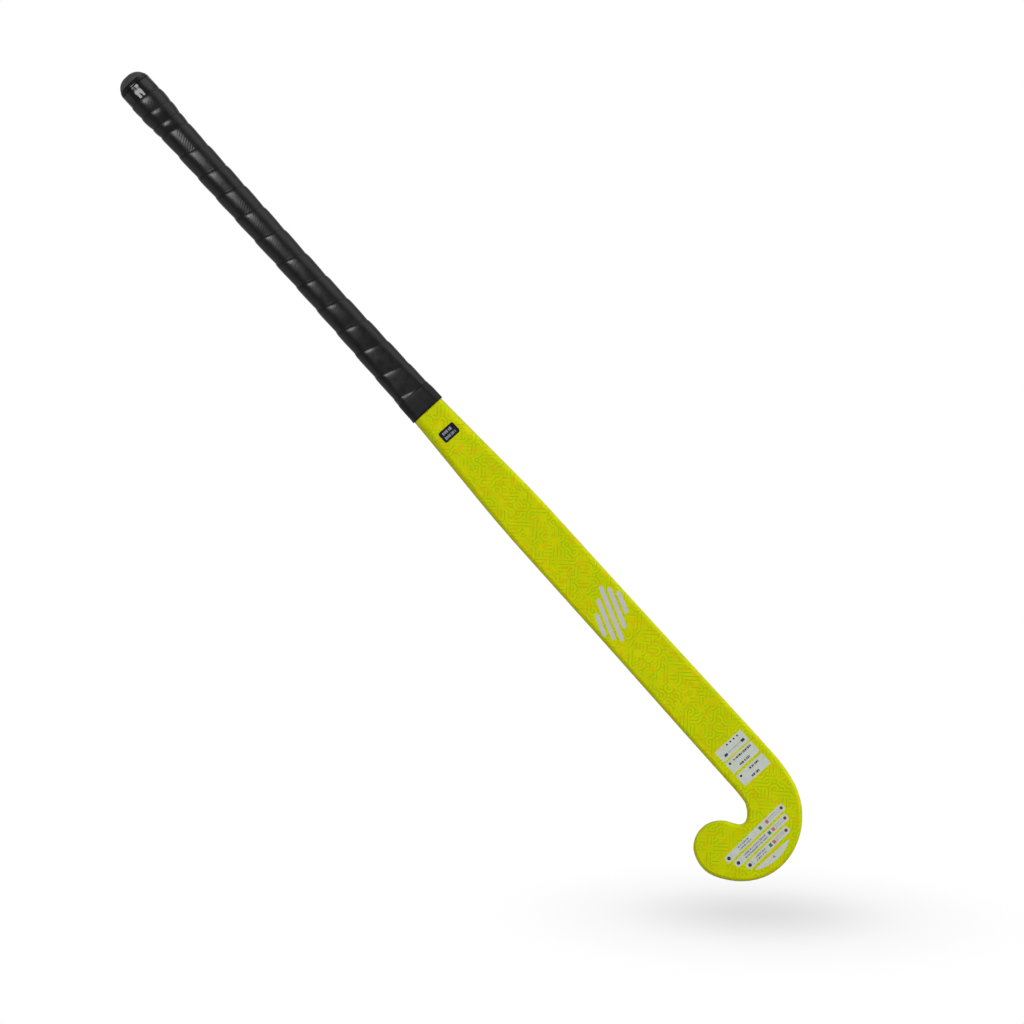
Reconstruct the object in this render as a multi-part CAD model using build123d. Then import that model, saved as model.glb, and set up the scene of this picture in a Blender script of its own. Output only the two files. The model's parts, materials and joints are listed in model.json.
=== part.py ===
from build123d import *
import os
from math import atan, cos, degrees, radians, sin, sqrt

# Field hockey stick: a hollow moulded shell over twin tubes, with a wound grip and applied film labels.
# It is drawn with the face of its head upright: Z runs up, the face looks along -Y and the toe points
# along -X. Heights are measured from the lowest point of the heel, and x from the axis of the shaft.
# The last step leans the whole stick back a little, so that its two ends stand one above the other.

# Overall sizes. Above the head the shaft bends forward on one large arc, and the handle is straight.
STICK_LENGTH = 923.0
BOW_DEPTH = 20.0
BEND_START = 80.0
BEND_END = 400.0

# Layers of the construction
LABEL_FILM = 0.15
BASE_TAPE = 0.2
SHELL_WALL = 2.4
BOND_LINE = 0.1
TUBE_WALL = 1.1

# Heights where one piece ends and the next begins
HEAD_TOP = 92.0
CORE_TOP = 104.0
TUBE_BOTTOM = 105.0
FINISHING_TAPE_BOTTOM = 520.4
GRIP_BOTTOM = 520.9
FINISHING_TAPE_TOP = 540.7
TUBE_TOP = 864.0
PLUG_BOTTOM = 865.0
GRIP_TOP = 897.8
COLLAR_BOTTOM = 898.0
COLLAR_GROOVE = 910.6
SHELL_TOP = 910.0
COLLAR_TOP = 915.0

# Shaft and handle: height, width across the face, depth from face to back, radius of the front edges
SHAFT_PROFILE = (
    (92.0, 47.9, 21.8, 3.5),
    (150.0, 47.3, 21.2, 3.5),
    (225.0, 45.9, 20.6, 3.5),
    (300.0, 45.0, 20.3, 3.5),
    (375.0, 44.6, 20.5, 3.6),
    (412.0, 42.8, 21.0, 4.0),
    (448.0, 39.4, 21.8, 5.0),
    (485.0, 35.8, 22.8, 6.0),
    (522.0, 32.4, 23.8, 7.0),
    (575.0, 28.4, 25.0, 8.0),
    (611.0, 26.0, 25.5, 8.3),
    (648.0, 24.4, 25.8, 8.5),
    (698.0, 23.4, 26.0, 8.5),
    (STICK_LENGTH, 23.4, 26.0, 8.5),
)
SIDE_LAND = 3.0
SHAFT_STEP = 23.0
HANDLE_STATIONS = (698.0, 740.0, 780.0, 820.0, 850.0, 862.0, 876.0, 898.0, SHELL_TOP)

# Head: points on the crook side and on the heel side of the hook, from the shaft to the round of the toe
CROOK_LEVEL = 66.0
CROOK_SHAFT_SIDE = (-24.8, CROOK_LEVEL)
HEEL_SHAFT_SIDE = (23.2, CROOK_LEVEL)
CROOK_POINTS = (
    (-24.1, HEAD_TOP),
    (-23.9, 79.0),
    CROOK_SHAFT_SIDE,
    (-29.5, 56.3),
    (-38.5, 51.1),
    (-45.7, 57.8),
)
HEEL_POINTS = (
    (23.9, HEAD_TOP),
    HEEL_SHAFT_SIDE,
    (16.7, 38.2),
    (-6.7, 10.3),
    (-40.0, 0.0),
    (-63.5, 5.8),
    (-85.0, 25.0),
)
# The round of the toe, and the angles above level, seen from its middle, where the two sides run into it
TOE_CENTRE = (-68.9, 48.5)
TOE_RADIUS = 24.7
TOE_SHOULDER = 39.3
HEEL_ON_TOE = (190.0, 170.0, 180.0 - TOE_SHOULDER)
HEAD_DEPTH = 21.8
HEAD_FRONT_RADIUS = 3.5
TOE_ROUNDING = 20.0
THINNEST_RADIUS_SHARE = 0.3
SHAFT_SIDE_STEPS = 2
CROOK_STEPS = 10
TOE_STEPS = (0.16, 0.3, 0.42, 0.54, 0.66, 0.78, 0.88, 0.96)
HOLLOW_TOE_STEPS = 2
FACE_TRIM = 0.05

# Cushion grip: height and thickness; the first turns at the butt lie double, and the last is drawn tight
GRIP_THICKNESS = (
    (521.0, 0.9),
    (544.0, 1.1),
    (579.0, 1.5),
    (614.0, 1.8),
    (850.0, 1.8),
    (862.0, 2.1),
    (876.0, 3.2),
    (898.0, 3.4),
    (STICK_LENGTH, 3.4),
)
FINISHING_TAPE = 0.3

# Butt: a domed cap with a glossy band round its shoulder
CAP_CLEARANCE = 0.05
CAP_WIDTH = 29.9
CAP_DEPTH = 32.6
CAP_FRONT_RADIUS = 13.6
CAP_DOME_RADIUS = 12.8
CAP_HEIGHT = 25.6
COLLAR_THICKNESS = 0.4
COLLAR_GROOVE_WIDTH = 0.8
COLLAR_GROOVE_DEPTH = 0.25

# Film labels, let into the shell: the badge under the grip, three panels above the head, and on the head
# three strips and a crescent
BADGE_CENTRE = (0.8, 491.0)
BADGE_SIZE = (17.5, 11.4)
BADGE_CORNER = 2.0
PANEL_CENTRE_X = 0.6
PANEL_SIZE = (31.4, 12.2)
PANEL_CORNER = 0.6
PANEL_HEIGHTS = {"upper": 109.7, "middle": 95.9, "lower": 81.2}
STRIP_CENTRE_X = -37.0
STRIP_TILT = 2.0
STRIP_HEIGHT = 6.6
STRIP_CORNER = 1.8
STRIPS = {"upper": (37.9, 72.0), "middle": (29.1, 64.7), "lower": (20.5, 51.5)}
CRESCENT_CENTRE_X = -38.0
CRESCENT_TOP = 13.9
CRESCENT_WIDTH = 44.0
CRESCENT_HEIGHT = 6.4
CRESCENT_CORNER = 0.8

# Emblem: a plain row of slanted rounded bars of different lengths, each a little higher than the one before
EMBLEM_CENTRE = (0.0, 271.5)
EMBLEM_LEAN = 70.0
EMBLEM_BARS = (22.0, 40.0, 54.0, 40.0, 22.0)
EMBLEM_BAR_WIDTH = 4.0
EMBLEM_PITCH = 6.6
EMBLEM_STAGGER = 0.45

# A size larger than the stick, for the blocks that trim it
WIDE = 400.0
# How far behind the face a label's outline is cut, and the smallest radius that a front edge keeps
FILM_REACH = 7.0
SMALLEST_RADIUS = 0.15
# Pull of the handles that make a cubic curve follow a quarter of an ellipse
QUARTER_PULL = 0.5523


# The bend, and how far above its start the bow is deepest
BEND = BEND_END - BEND_START
DEEPEST = BEND * (BEND + 2 * (STICK_LENGTH - BEND_END)) / (2 * STICK_LENGTH)
# The bend's curvature, as half of one over its radius, and the two leans that follow from it
CURVATURE = BOW_DEPTH / (DEEPEST * (2 * BEND_START + DEEPEST))
LEAN_OF_HANDLE = degrees(atan(2 * CURVATURE * BEND))
LEAN_OF_ENDS = degrees(atan(2 * CURVATURE * DEEPEST))


def bow(height):
    """How far the flat face stands back (+Y) from the head's plane. Above the head it comes forward."""
    bent = min(max(height - BEND_START, 0.0), BEND)
    straight = max(height - BEND_END, 0.0)
    return -CURVATURE * bent * (bent + 2 * straight)


def read_profile(rows, height):
    """The values of a profile at one height, on a smooth curve through its rows that never overshoots."""
    k = 0
    while k < len(rows) - 2 and rows[k + 1][0] <= height:
        k += 1
    low, high = rows[k], rows[k + 1]
    before, after = rows[max(k - 1, 0)], rows[min(k + 2, len(rows) - 1)]
    span = high[0] - low[0]
    t = (height - low[0]) / span
    values = []
    for i in range(1, len(low)):
        rise = (high[i] - low[i]) / span
        slopes = []
        for far, near in ((before, low), (after, high)):
            side = rise if far is near else (near[i] - far[i]) / (near[0] - far[0])
            slopes.append(0.0 if side * rise <= 0 else 2 * side * rise / (side + rise))
        start = slopes[0] * span
        finish = slopes[1] * span
        change = high[i] - low[i]
        squared = 3 * change - 2 * start - finish
        cubed = start + finish - 2 * change
        values.append(low[i] + start * t + squared * t**2 + cubed * t**3)
    return values


def d_section(start, end, front, depth, front_radius, inset):
    """A D-shaped face: flat front, rounded front edges, short sides and a half-ellipse back.

    start and end are the (x, z) points of its two edges, and front is how far the flat stands back.
    """
    across = Vector(end[0] - start[0], 0, end[1] - start[1])
    width = across.length - 2 * inset
    radius = max(front_radius - inset, SMALLEST_RADIUS)
    shoulder = radius + SIDE_LAND
    back = depth - 2 * inset - shoulder
    x_dir = across.normalized()
    origin = Vector(start[0], front + inset, start[1]) + x_dir * inset
    plane = Plane(origin=origin, x_dir=x_dir, z_dir=x_dir.cross(Vector(0, 1, 0)))
    crown = (width / 2, shoulder + back)
    pull_up = shoulder + QUARTER_PULL * back
    pull_in = QUARTER_PULL * width / 2
    outline = Wire(
        [
            Line((radius, 0), (width - radius, 0)),
            CenterArc((width - radius, radius), radius, -90, 90),
            Line((width, radius), (width, shoulder)),
            Bezier((width, shoulder), (width, pull_up), (crown[0] + pull_in, crown[1]), crown),
            Bezier(crown, (crown[0] - pull_in, crown[1]), (0, pull_up), (0, shoulder)),
            Line((0, shoulder), (0, radius)),
            CenterArc((radius, radius), radius, 180, 90),
        ]
    )
    return plane * Face(outline)


def level_section(height, inset):
    """The level section of the shaft or handle at one height."""
    width, depth, front_radius = read_profile(SHAFT_PROFILE, height)
    front = bow(height) + FACE_TRIM
    return d_section((-width / 2, height), (width / 2, height), front, depth, front_radius, inset)


def on_toe(angle):
    """The point on the round of the toe at an angle up from level."""
    turn = radians(angle)
    return (TOE_CENTRE[0] + TOE_RADIUS * cos(turn), TOE_CENTRE[1] + TOE_RADIUS * sin(turn))


def rounding(distance, radius):
    """The share of its full depth that a rounded end has reached at a distance in from its tip."""
    short = max(0.0, 1 - distance / radius)
    return sqrt(1 - short * short)


def head_section(start, end, inset):
    """A section of the head, thinned where it nears the top of the toe."""
    above_crook = start[1] > CROOK_LEVEL and start[0] > CROOK_SHAFT_SIDE[0]
    front = FACE_TRIM if above_crook else -FACE_TRIM
    depth = HEAD_DEPTH - front
    radius = HEAD_FRONT_RADIUS
    on_toe_side = start[0] + end[0] < CROOK_SHAFT_SIDE[0] + on_toe(TOE_SHOULDER)[0]
    if on_toe_side:
        to_tip = TOE_CENTRE[1] + TOE_RADIUS - (start[1] + end[1]) / 2
        front_loss = radius * (1 - rounding(to_tip, radius))
        back = (depth - radius - SIDE_LAND) * rounding(to_tip, TOE_ROUNDING)
        width = Vector(end[0] - start[0], end[1] - start[1]).length
        radius = min(radius, THINNEST_RADIUS_SHARE * width)
        front = front + front_loss
        depth = radius + SIDE_LAND + back - front_loss
    return d_section(start, end, front, depth, radius, inset)


def head_stations():
    """Pairs of points, one on the crook side and one on the heel side, from the shaft to the toe."""
    shoulder = radians(TOE_SHOULDER)
    down = (0, -1)
    crook_end = (-sin(shoulder), cos(shoulder))
    heel_end = (sin(shoulder), cos(shoulder))
    crook = Spline(*CROOK_POINTS, on_toe(TOE_SHOULDER), tangents=[down, crook_end])
    heel = Spline(*HEEL_POINTS, *[on_toe(angle) for angle in HEEL_ON_TOE], tangents=[down, heel_end])
    sides = []
    for edge, bend in ((crook, CROOK_SHAFT_SIDE), (heel, HEEL_SHAFT_SIDE)):
        split = edge.param_at_point(bend)
        sides.append((edge.trim(0, split), edge.trim(split, 1)))
    spans = (
        [k / SHAFT_SIDE_STEPS for k in range(1, SHAFT_SIDE_STEPS)],
        [k / CROOK_STEPS for k in range(CROOK_STEPS + 1)],
    )
    pairs = []
    for k, fractions in enumerate(spans):
        for fraction in fractions:
            start = sides[0][k] @ fraction
            end = sides[1][k] @ fraction
            pairs.append(((start.X, start.Y), (end.X, end.Y)))
    for fraction in TOE_STEPS:
        angle = TOE_SHOULDER + (90 - TOE_SHOULDER) * fraction
        pairs.append((on_toe(angle), on_toe(180 - angle)))
    return pairs


def shaft_heights():
    """The heights of the level sections, from the butt down to the head."""
    count = round((HANDLE_STATIONS[0] - HEAD_TOP) / SHAFT_STEP)
    step = (HANDLE_STATIONS[0] - HEAD_TOP) / count
    heights = [HEAD_TOP + k * step for k in range(count)] + list(HANDLE_STATIONS)
    return heights[::-1]


def whole_form(inset):
    """The outer form of the stick from the butt to the toe, sunk or raised by an inset."""
    sections = [level_section(height, inset) for height in shaft_heights()]
    pairs = HEAD_STATIONS
    if inset > 0:
        pairs = pairs[: HOLLOW_TOE_STEPS - len(TOE_STEPS)]
    sections += [head_section(start, end, inset) for start, end in pairs]
    return loft(sections)


def sleeve_form(extra):
    """The outer form of the wound grip, raised by a further layer."""
    sections = []
    for height in shaft_heights():
        if height > CORE_TOP:
            (thickness,) = read_profile(GRIP_THICKNESS, max(height, GRIP_BOTTOM))
            sections.append(level_section(height, -(BASE_TAPE + thickness + extra)))
    return loft(sections)


def slab(low, high, left=-WIDE, right=WIDE):
    """A block that holds all that lies between two heights, and between two places across."""
    block = Box(right - left, WIDE, high - low)
    return Pos((left + right) / 2, 0, (low + high) / 2) * block


def hollow(inset):
    """The form of what lies inside the shell."""
    return whole_form(SHELL_WALL + inset)


def in_front_of(depth):
    """A block that holds all of the head that stands further forward than a depth."""
    return Pos(0, -depth - WIDE / 2, BEND_START / 2 - WIDE / 2) * Box(WIDE, WIDE, BEND_START + WIDE)


def handle_plane(height):
    """A plane across the leaning handle, centred on its middle at one height."""
    depth = read_profile(SHAFT_PROFILE, height)[1]
    lean = radians(LEAN_OF_HANDLE)
    origin = (0, bow(height) + depth / 2, height)
    return Plane(origin=origin, x_dir=(1, 0, 0), z_dir=(0, -sin(lean), cos(lean)))


def handle_slab(low, high):
    """A block that holds all of the handle between two heights, cut square to the handle."""
    length = (high - low) / cos(radians(LEAN_OF_HANDLE))
    return handle_plane(low) * Pos(0, 0, length / 2) * Box(WIDE, WIDE, length)


def cap_form(inset):
    """The domed form of the butt, from just under the top of the grip to the top of the stick."""
    half = CAP_WIDTH / 2
    start = (-half, -CAP_DOME_RADIUS)
    end = (half, -CAP_DOME_RADIUS)
    section = d_section(start, end, -CAP_DEPTH / 2, CAP_DEPTH, CAP_FRONT_RADIUS, inset)
    block = extrude(section, CAP_HEIGHT + CAP_DOME_RADIUS - inset, dir=(0, 0, 1))
    rim = block.faces().sort_by(Axis.Z)[-1].edges()
    return handle_plane(GRIP_TOP) * fillet(rim, CAP_DOME_RADIUS - inset)


def face_plane(centre, tilt=0.0):
    """A plane in front of the stick, seen as the playing face is seen, centred on an (x, z) point."""
    x_dir = (cos(radians(tilt)), 0, sin(radians(tilt)))
    return Plane(origin=(centre[0], -WIDE / 2, centre[1]), x_dir=x_dir, z_dir=(0, -1, 0))


def film(outline, height, outer, core):
    """The part of the thin layer between the outer form and its core that lies behind an outline."""
    reach = WIDE / 2 + bow(height) + FILM_REACH
    return (extrude(outline, reach, dir=(0, 1, 0)) & outer) - core


def rounded_label(centre, size, corner, outer, core, tilt=0.0):
    outline = face_plane(centre, tilt) * RectangleRounded(*size, corner)
    return film(outline, centre[1], outer, core)


def crescent_label(outer, core):
    """Flat along its top and bowed along its bottom, with its two tips rounded off."""
    half = CRESCENT_WIDTH / 2
    top = Line((-half, 0), (half, 0))
    bottom = ThreePointArc((half, 0), (0, -CRESCENT_HEIGHT), (-half, 0))
    outline = make_face([top, bottom])
    outline = fillet(outline.vertices(), CRESCENT_CORNER)
    centre = (CRESCENT_CENTRE_X, CRESCENT_TOP)
    return film(face_plane(centre) * outline, CRESCENT_TOP, outer, core)


def emblem(outer, core):
    """Parallel rounded bars, the longest in the middle, none of them touching."""
    middle = (len(EMBLEM_BARS) - 1) / 2
    bars = []
    for k, length in enumerate(EMBLEM_BARS):
        across = (middle - k) * EMBLEM_PITCH
        along = -across * EMBLEM_STAGGER
        bar = Pos(along, across) * SlotOverall(length, EMBLEM_BAR_WIDTH)
        outline = face_plane(EMBLEM_CENTRE, EMBLEM_LEAN) * bar
        bars += film(outline, EMBLEM_CENTRE[1], outer, core).solids()
    return Compound(bars)


def make_inside():
    """The foam core of the head, the twin tubes and the plug in the handle."""
    filling = hollow(BOND_LINE)
    bore = hollow(BOND_LINE + TUBE_WALL)
    web = BOND_LINE / 2
    parts = {
        "head_core": filling & slab(-WIDE, CORE_TOP),
        "handle_plug": filling & slab(PLUG_BOTTOM, SHELL_TOP),
    }
    for name, left, right in (("toe_side_tube", -WIDE, -web), ("heel_side_tube", web, WIDE)):
        inner = slab(0, STICK_LENGTH, left + TUBE_WALL, right - TUBE_WALL)
        parts[name] = (filling & slab(TUBE_BOTTOM, TUBE_TOP, left, right)) - (bore & inner)
    return parts


def make_handle(outer):
    """The grip, the tapes under and over it, and the butt."""
    taped = whole_form(-BASE_TAPE)
    sleeve = sleeve_form(0)
    cap = cap_form(0)
    groove = handle_slab(COLLAR_GROOVE - COLLAR_GROOVE_WIDTH / 2, COLLAR_GROOVE + COLLAR_GROOVE_WIDTH / 2)
    groove -= cap_form(COLLAR_GROOVE_DEPTH - COLLAR_THICKNESS)
    collar = (cap_form(-COLLAR_THICKNESS) - cap) & handle_slab(COLLAR_BOTTOM, COLLAR_TOP)
    end_tape = sleeve_form(FINISHING_TAPE) - sleeve
    return {
        "grip_base_tape": (taped - outer) & handle_slab(GRIP_BOTTOM, GRIP_TOP),
        "cushion_grip": (sleeve - taped) & handle_slab(GRIP_BOTTOM, GRIP_TOP),
        "grip_finishing_tape": end_tape & handle_slab(FINISHING_TAPE_BOTTOM, FINISHING_TAPE_TOP),
        "butt_cap": (cap & handle_slab(COLLAR_BOTTOM, STICK_LENGTH + WIDE)) - whole_form(-CAP_CLEARANCE),
        "butt_collar": collar - groove,
    }


def make_labels(outer):
    """Every film label on the playing side, flush with the shell round it."""
    core = whole_form(LABEL_FILM) - in_front_of(-LABEL_FILM)
    parts = {
        "handle_badge": rounded_label(BADGE_CENTRE, BADGE_SIZE, BADGE_CORNER, outer, core),
        "face_emblem": emblem(outer, core),
        "head_crescent_label": crescent_label(outer, core),
    }
    for name, height in PANEL_HEIGHTS.items():
        centre = (PANEL_CENTRE_X, height)
        parts[f"spec_panel_{name}"] = rounded_label(centre, PANEL_SIZE, PANEL_CORNER, outer, core)
    for name, (height, length) in STRIPS.items():
        centre = (STRIP_CENTRE_X, height)
        size = (length, STRIP_HEIGHT)
        parts[f"head_strip_{name}"] = rounded_label(centre, size, STRIP_CORNER, outer, core, STRIP_TILT)
    return parts


HEAD_STATIONS = head_stations()
outer = whole_form(0) - in_front_of(0)
labels = make_labels(outer)
shell = outer - hollow(0)
for label in labels.values():
    shell -= label
parts = {"shaft_shell": shell, **make_inside(), **make_handle(outer), **labels}

# The stick is leaned so that its ends stand one above the other. Its origin is its box's bottom centre.
parts = {name: Rot(X=-LEAN_OF_ENDS) * part for name, part in parts.items()}
lows = [part.bounding_box().min for part in parts.values()]
highs = [part.bounding_box().max for part in parts.values()]
middle_x = (min(low.X for low in lows) + max(high.X for high in highs)) / 2
middle_y = (min(low.Y for low in lows) + max(high.Y for high in highs)) / 2
home = Pos(-middle_x, -middle_y, -min(low.Z for low in lows))
print("leaned by", round(LEAN_OF_ENDS, 4), "degrees, then moved by", [round(c, 3) for c in home.position])

os.makedirs("parts", exist_ok=True)
for name, part in parts.items():
    solids = [home * solid for solid in part.solids()]
    export_step(solids[0] if len(solids) == 1 else Compound(solids), f"parts/{name}.step")
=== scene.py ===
import json
import random
from math import cos, floor, pi, radians, sin, sqrt

import bmesh
import bpy
from mathutils import Matrix, Vector
from mathutils.bvhtree import BVHTree


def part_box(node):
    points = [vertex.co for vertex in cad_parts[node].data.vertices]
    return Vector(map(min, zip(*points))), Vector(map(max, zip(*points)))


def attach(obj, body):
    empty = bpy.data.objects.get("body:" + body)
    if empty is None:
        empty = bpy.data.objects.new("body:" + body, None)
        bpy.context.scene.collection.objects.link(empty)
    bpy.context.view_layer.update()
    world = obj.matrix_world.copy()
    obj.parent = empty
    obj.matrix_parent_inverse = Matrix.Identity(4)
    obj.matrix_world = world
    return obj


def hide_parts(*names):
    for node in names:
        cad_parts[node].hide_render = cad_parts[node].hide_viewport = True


# The looks of a field hockey stick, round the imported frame. Sizes are in metres, and heights are the
# frame's z.
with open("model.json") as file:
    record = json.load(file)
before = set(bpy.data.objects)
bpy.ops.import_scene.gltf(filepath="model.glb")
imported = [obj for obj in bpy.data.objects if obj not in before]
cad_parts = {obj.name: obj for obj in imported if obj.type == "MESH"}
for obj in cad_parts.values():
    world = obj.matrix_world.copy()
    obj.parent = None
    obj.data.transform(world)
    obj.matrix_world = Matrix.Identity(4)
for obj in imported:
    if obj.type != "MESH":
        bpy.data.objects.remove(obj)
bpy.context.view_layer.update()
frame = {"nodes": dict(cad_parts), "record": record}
NODES = frame["nodes"]
MM = 0.001

# The view: the stick leans in the picture, because the camera is rolled about the way it looks (+Y)
VIEW_ROLL = radians(42.1)
VIEW_CENTRE = Vector((0.0295, -0.015, 0.4008))
VIEW_WIDTH = 0.9247
LENS = 89.0
SENSOR = 36.0
RIGHT = Vector((cos(VIEW_ROLL), 0, -sin(VIEW_ROLL)))
UP = Vector((sin(VIEW_ROLL), 0, cos(VIEW_ROLL)))
TOWARDS = Vector((0, -1, 0))


# ---------------------------------------------------------------- nodes of the materials


def plug(tree, value, socket):
    """Sets a socket to a value, or links it from another socket."""
    if isinstance(value, bpy.types.NodeSocket):
        tree.links.new(value, socket)
    else:
        socket.default_value = value


def add(tree, kind, inputs=None, **settings):
    """A new node, with its settings and its inputs by name or number."""
    made = tree.nodes.new("ShaderNode" + kind)
    for key, value in settings.items():
        setattr(made, key, value)
    for key, value in (inputs or {}).items():
        plug(tree, value, made.inputs[key])
    return made


def maths(tree, operation, *values):
    """The result of one operation on numbers."""
    made = add(tree, "Math", operation=operation)
    for socket, value in zip(made.inputs, values):
        plug(tree, value, socket)
    return made.outputs[0]


def either(tree, factor, first, second):
    """first where the factor is 0 and second where it is 1, for numbers."""
    made = add(tree, "Mix", {"Factor": factor}, data_type="FLOAT")
    plug(tree, first, made.inputs[2])
    plug(tree, second, made.inputs[3])
    return made.outputs[0]


def blend_colours(tree, factor, first, second):
    """The first colour where the factor is 0 and the second where it is 1."""
    made = add(tree, "Mix", {"Factor": factor}, data_type="RGBA")
    plug(tree, first, made.inputs[6])
    plug(tree, second, made.inputs[7])
    return made.outputs[2]


def ramp(tree, value, low, high, to_low=0.0, to_high=1.0):
    """A smooth change from to_low to to_high as a value goes from low to high."""
    keys = {"Value": value, "From Min": low, "From Max": high, "To Min": to_low, "To Max": to_high}
    return add(tree, "MapRange", keys, interpolation_type="SMOOTHSTEP").outputs["Result"]


def noise(tree, place, size, detail):
    """Soft noise with features of about one size in metres."""
    keys = {"Vector": place, "Scale": 1 / size, "Detail": detail}
    return add(tree, "TexNoise", keys).outputs["Fac"]


def patches(tree, place, size, detail, low=0.0, high=1.0, span=(0.3, 0.7)):
    """Soft patches of a low and a high value. The span is the part of the noise that the change takes."""
    return ramp(tree, noise(tree, place, size, detail), *span, low, high)


def object_place(tree):
    """The place on the object, as a vector in metres."""
    return add(tree, "TexCoord").outputs["Object"]


def height_of(tree, place):
    """The height of a place."""
    return add(tree, "SeparateXYZ", {0: place}).outputs["Z"]


def new_material(name, specular=0.5, roughness=0.5, tint=(1, 1, 1, 1)):
    """A new material, with its tree and its shader."""
    made = bpy.data.materials.new(name)
    made.use_nodes = True
    shader = made.node_tree.nodes["Principled BSDF"]
    shader.inputs["Roughness"].default_value = roughness
    shader.inputs["Specular IOR Level"].default_value = specular
    shader.inputs["Specular Tint"].default_value = tint
    return made, made.node_tree, shader


# The two colours that each surface wanders between
COLOURS = {
    "cushion_tape": ((0.0045, 0.0045, 0.0049, 1), (0.0085, 0.0085, 0.0091, 1)),
    "vinyl_tape": ((0.0045, 0.0045, 0.0047, 1), (0.0085, 0.0083, 0.0090, 1)),
    "butt_rubber": ((0.048, 0.048, 0.049, 1), (0.072, 0.072, 0.074, 1)),
    "gloss_band": ((0.004, 0.004, 0.0045, 1), (0.010, 0.010, 0.011, 1)),
    "bare_laminate": ((0.012, 0.012, 0.013, 1), (0.045, 0.045, 0.048, 1)),
    "rigid_foam": ((0.52, 0.43, 0.24, 1), (0.78, 0.69, 0.46, 1)),
    "adhesive_tape": ((0.5, 0.48, 0.42, 1), (0.66, 0.64, 0.58, 1)),
    "label_white": ((0.56, 0.60, 0.53, 1), (0.62, 0.66, 0.60, 1)),
    "badge_black": ((0.003, 0.004, 0.005, 1), (0.007, 0.008, 0.010, 1)),
    "emblem_grey": ((0.53, 0.55, 0.52, 1), (0.57, 0.58, 0.57, 1)),
    "dark_ink": ((0.020, 0.021, 0.026, 1), (0.034, 0.035, 0.042, 1)),
    "blue_ink": ((0.17, 0.19, 0.27, 1), (0.23, 0.25, 0.33, 1)),
    "pale_ink": ((0.21, 0.25, 0.34, 1), (0.30, 0.34, 0.42, 1)),
    "green_ink": ((0.010, 0.16, 0.06, 1), (0.020, 0.22, 0.09, 1)),
    "red_ink": ((0.55, 0.10, 0.07, 1), (0.62, 0.14, 0.10, 1)),
    "maroon_ink": ((0.13, 0.018, 0.03, 1), (0.19, 0.03, 0.045, 1)),
}


def paint(tree, shader, name, share):
    """Gives a surface its two colours: the first where the share is 0 and the second where it is 1."""
    colour = blend_colours(tree, share, *COLOURS[name])
    tree.links.new(colour, shader.inputs["Base Color"])


def polish(tree, shader, roughness):
    """Gives a surface a roughness that varies."""
    tree.links.new(roughness, shader.inputs["Roughness"])


def add_bump(tree, shader, height, distance, strength):
    """Gives a surface a fine relief, which a height of 1 raises by a distance."""
    made = add(tree, "Bump", {"Height": height, "Distance": distance, "Strength": strength})
    tree.links.new(made.outputs["Normal"], shader.inputs["Normal"])


# ---------------------------------------------------------------- the lacquered shell

LIME = (0.640, 0.680, 0.001, 1)
LIME_DEEP = (0.575, 0.650, 0.001, 1)
WARM = (0.700, 0.520, 0.001, 1)
LINE_GREEN = (0.335, 0.560, 0.001, 1)
YELLOW_SHEEN = (1, 1, 0.12, 1)
CELL = 6.6 * MM
LINE_WIDTH = 0.46 * MM
LINE_SOFTNESS = 0.2 * MM
# Of all cells, those up to the first share hold arcs, those up to the second hold straight lines, and the
# rest are plain
ARC_SHARE = 0.5
STRAIGHT_SHARE = 0.88
# The arcs round one corner of a cell fill it as far as this share of its side
ARC_REACH = 0.875
# Numbers that make the pattern differ on surfaces that face sideways and endways
SIDE_PLANE = 7.0
END_PLANE = 13.0


def flat_map(tree):
    """Two coordinates over the plane that a surface faces most, and a number for that plane."""
    coords = add(tree, "TexCoord")
    x, y, z = add(tree, "SeparateXYZ", {0: coords.outputs["Object"]}).outputs
    normal = add(tree, "SeparateXYZ", {0: coords.outputs["Normal"]})
    nx, ny, nz = (maths(tree, "ABSOLUTE", axis) for axis in normal.outputs)
    faces_side = maths(tree, "GREATER_THAN", nx, ny)
    faces_end = maths(tree, "GREATER_THAN", nz, maths(tree, "MAXIMUM", nx, ny))
    faces_side = maths(tree, "MULTIPLY", faces_side, maths(tree, "SUBTRACT", 1.0, faces_end))
    across = either(tree, faces_side, x, y)
    along = either(tree, faces_end, z, y)
    plane = maths(tree, "MULTIPLY", faces_side, SIDE_PLANE)
    plane = maths(tree, "MULTIPLY_ADD", faces_end, END_PLANE, plane)
    return across, along, plane


def between_lines(tree, place):
    """How far a place across a cell lies from its nearer line. The two lines are a quarter in."""
    from_side = maths(tree, "PINGPONG", place, 0.5)
    return maths(tree, "ABSOLUTE", maths(tree, "SUBTRACT", from_side, 0.25))


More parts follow.
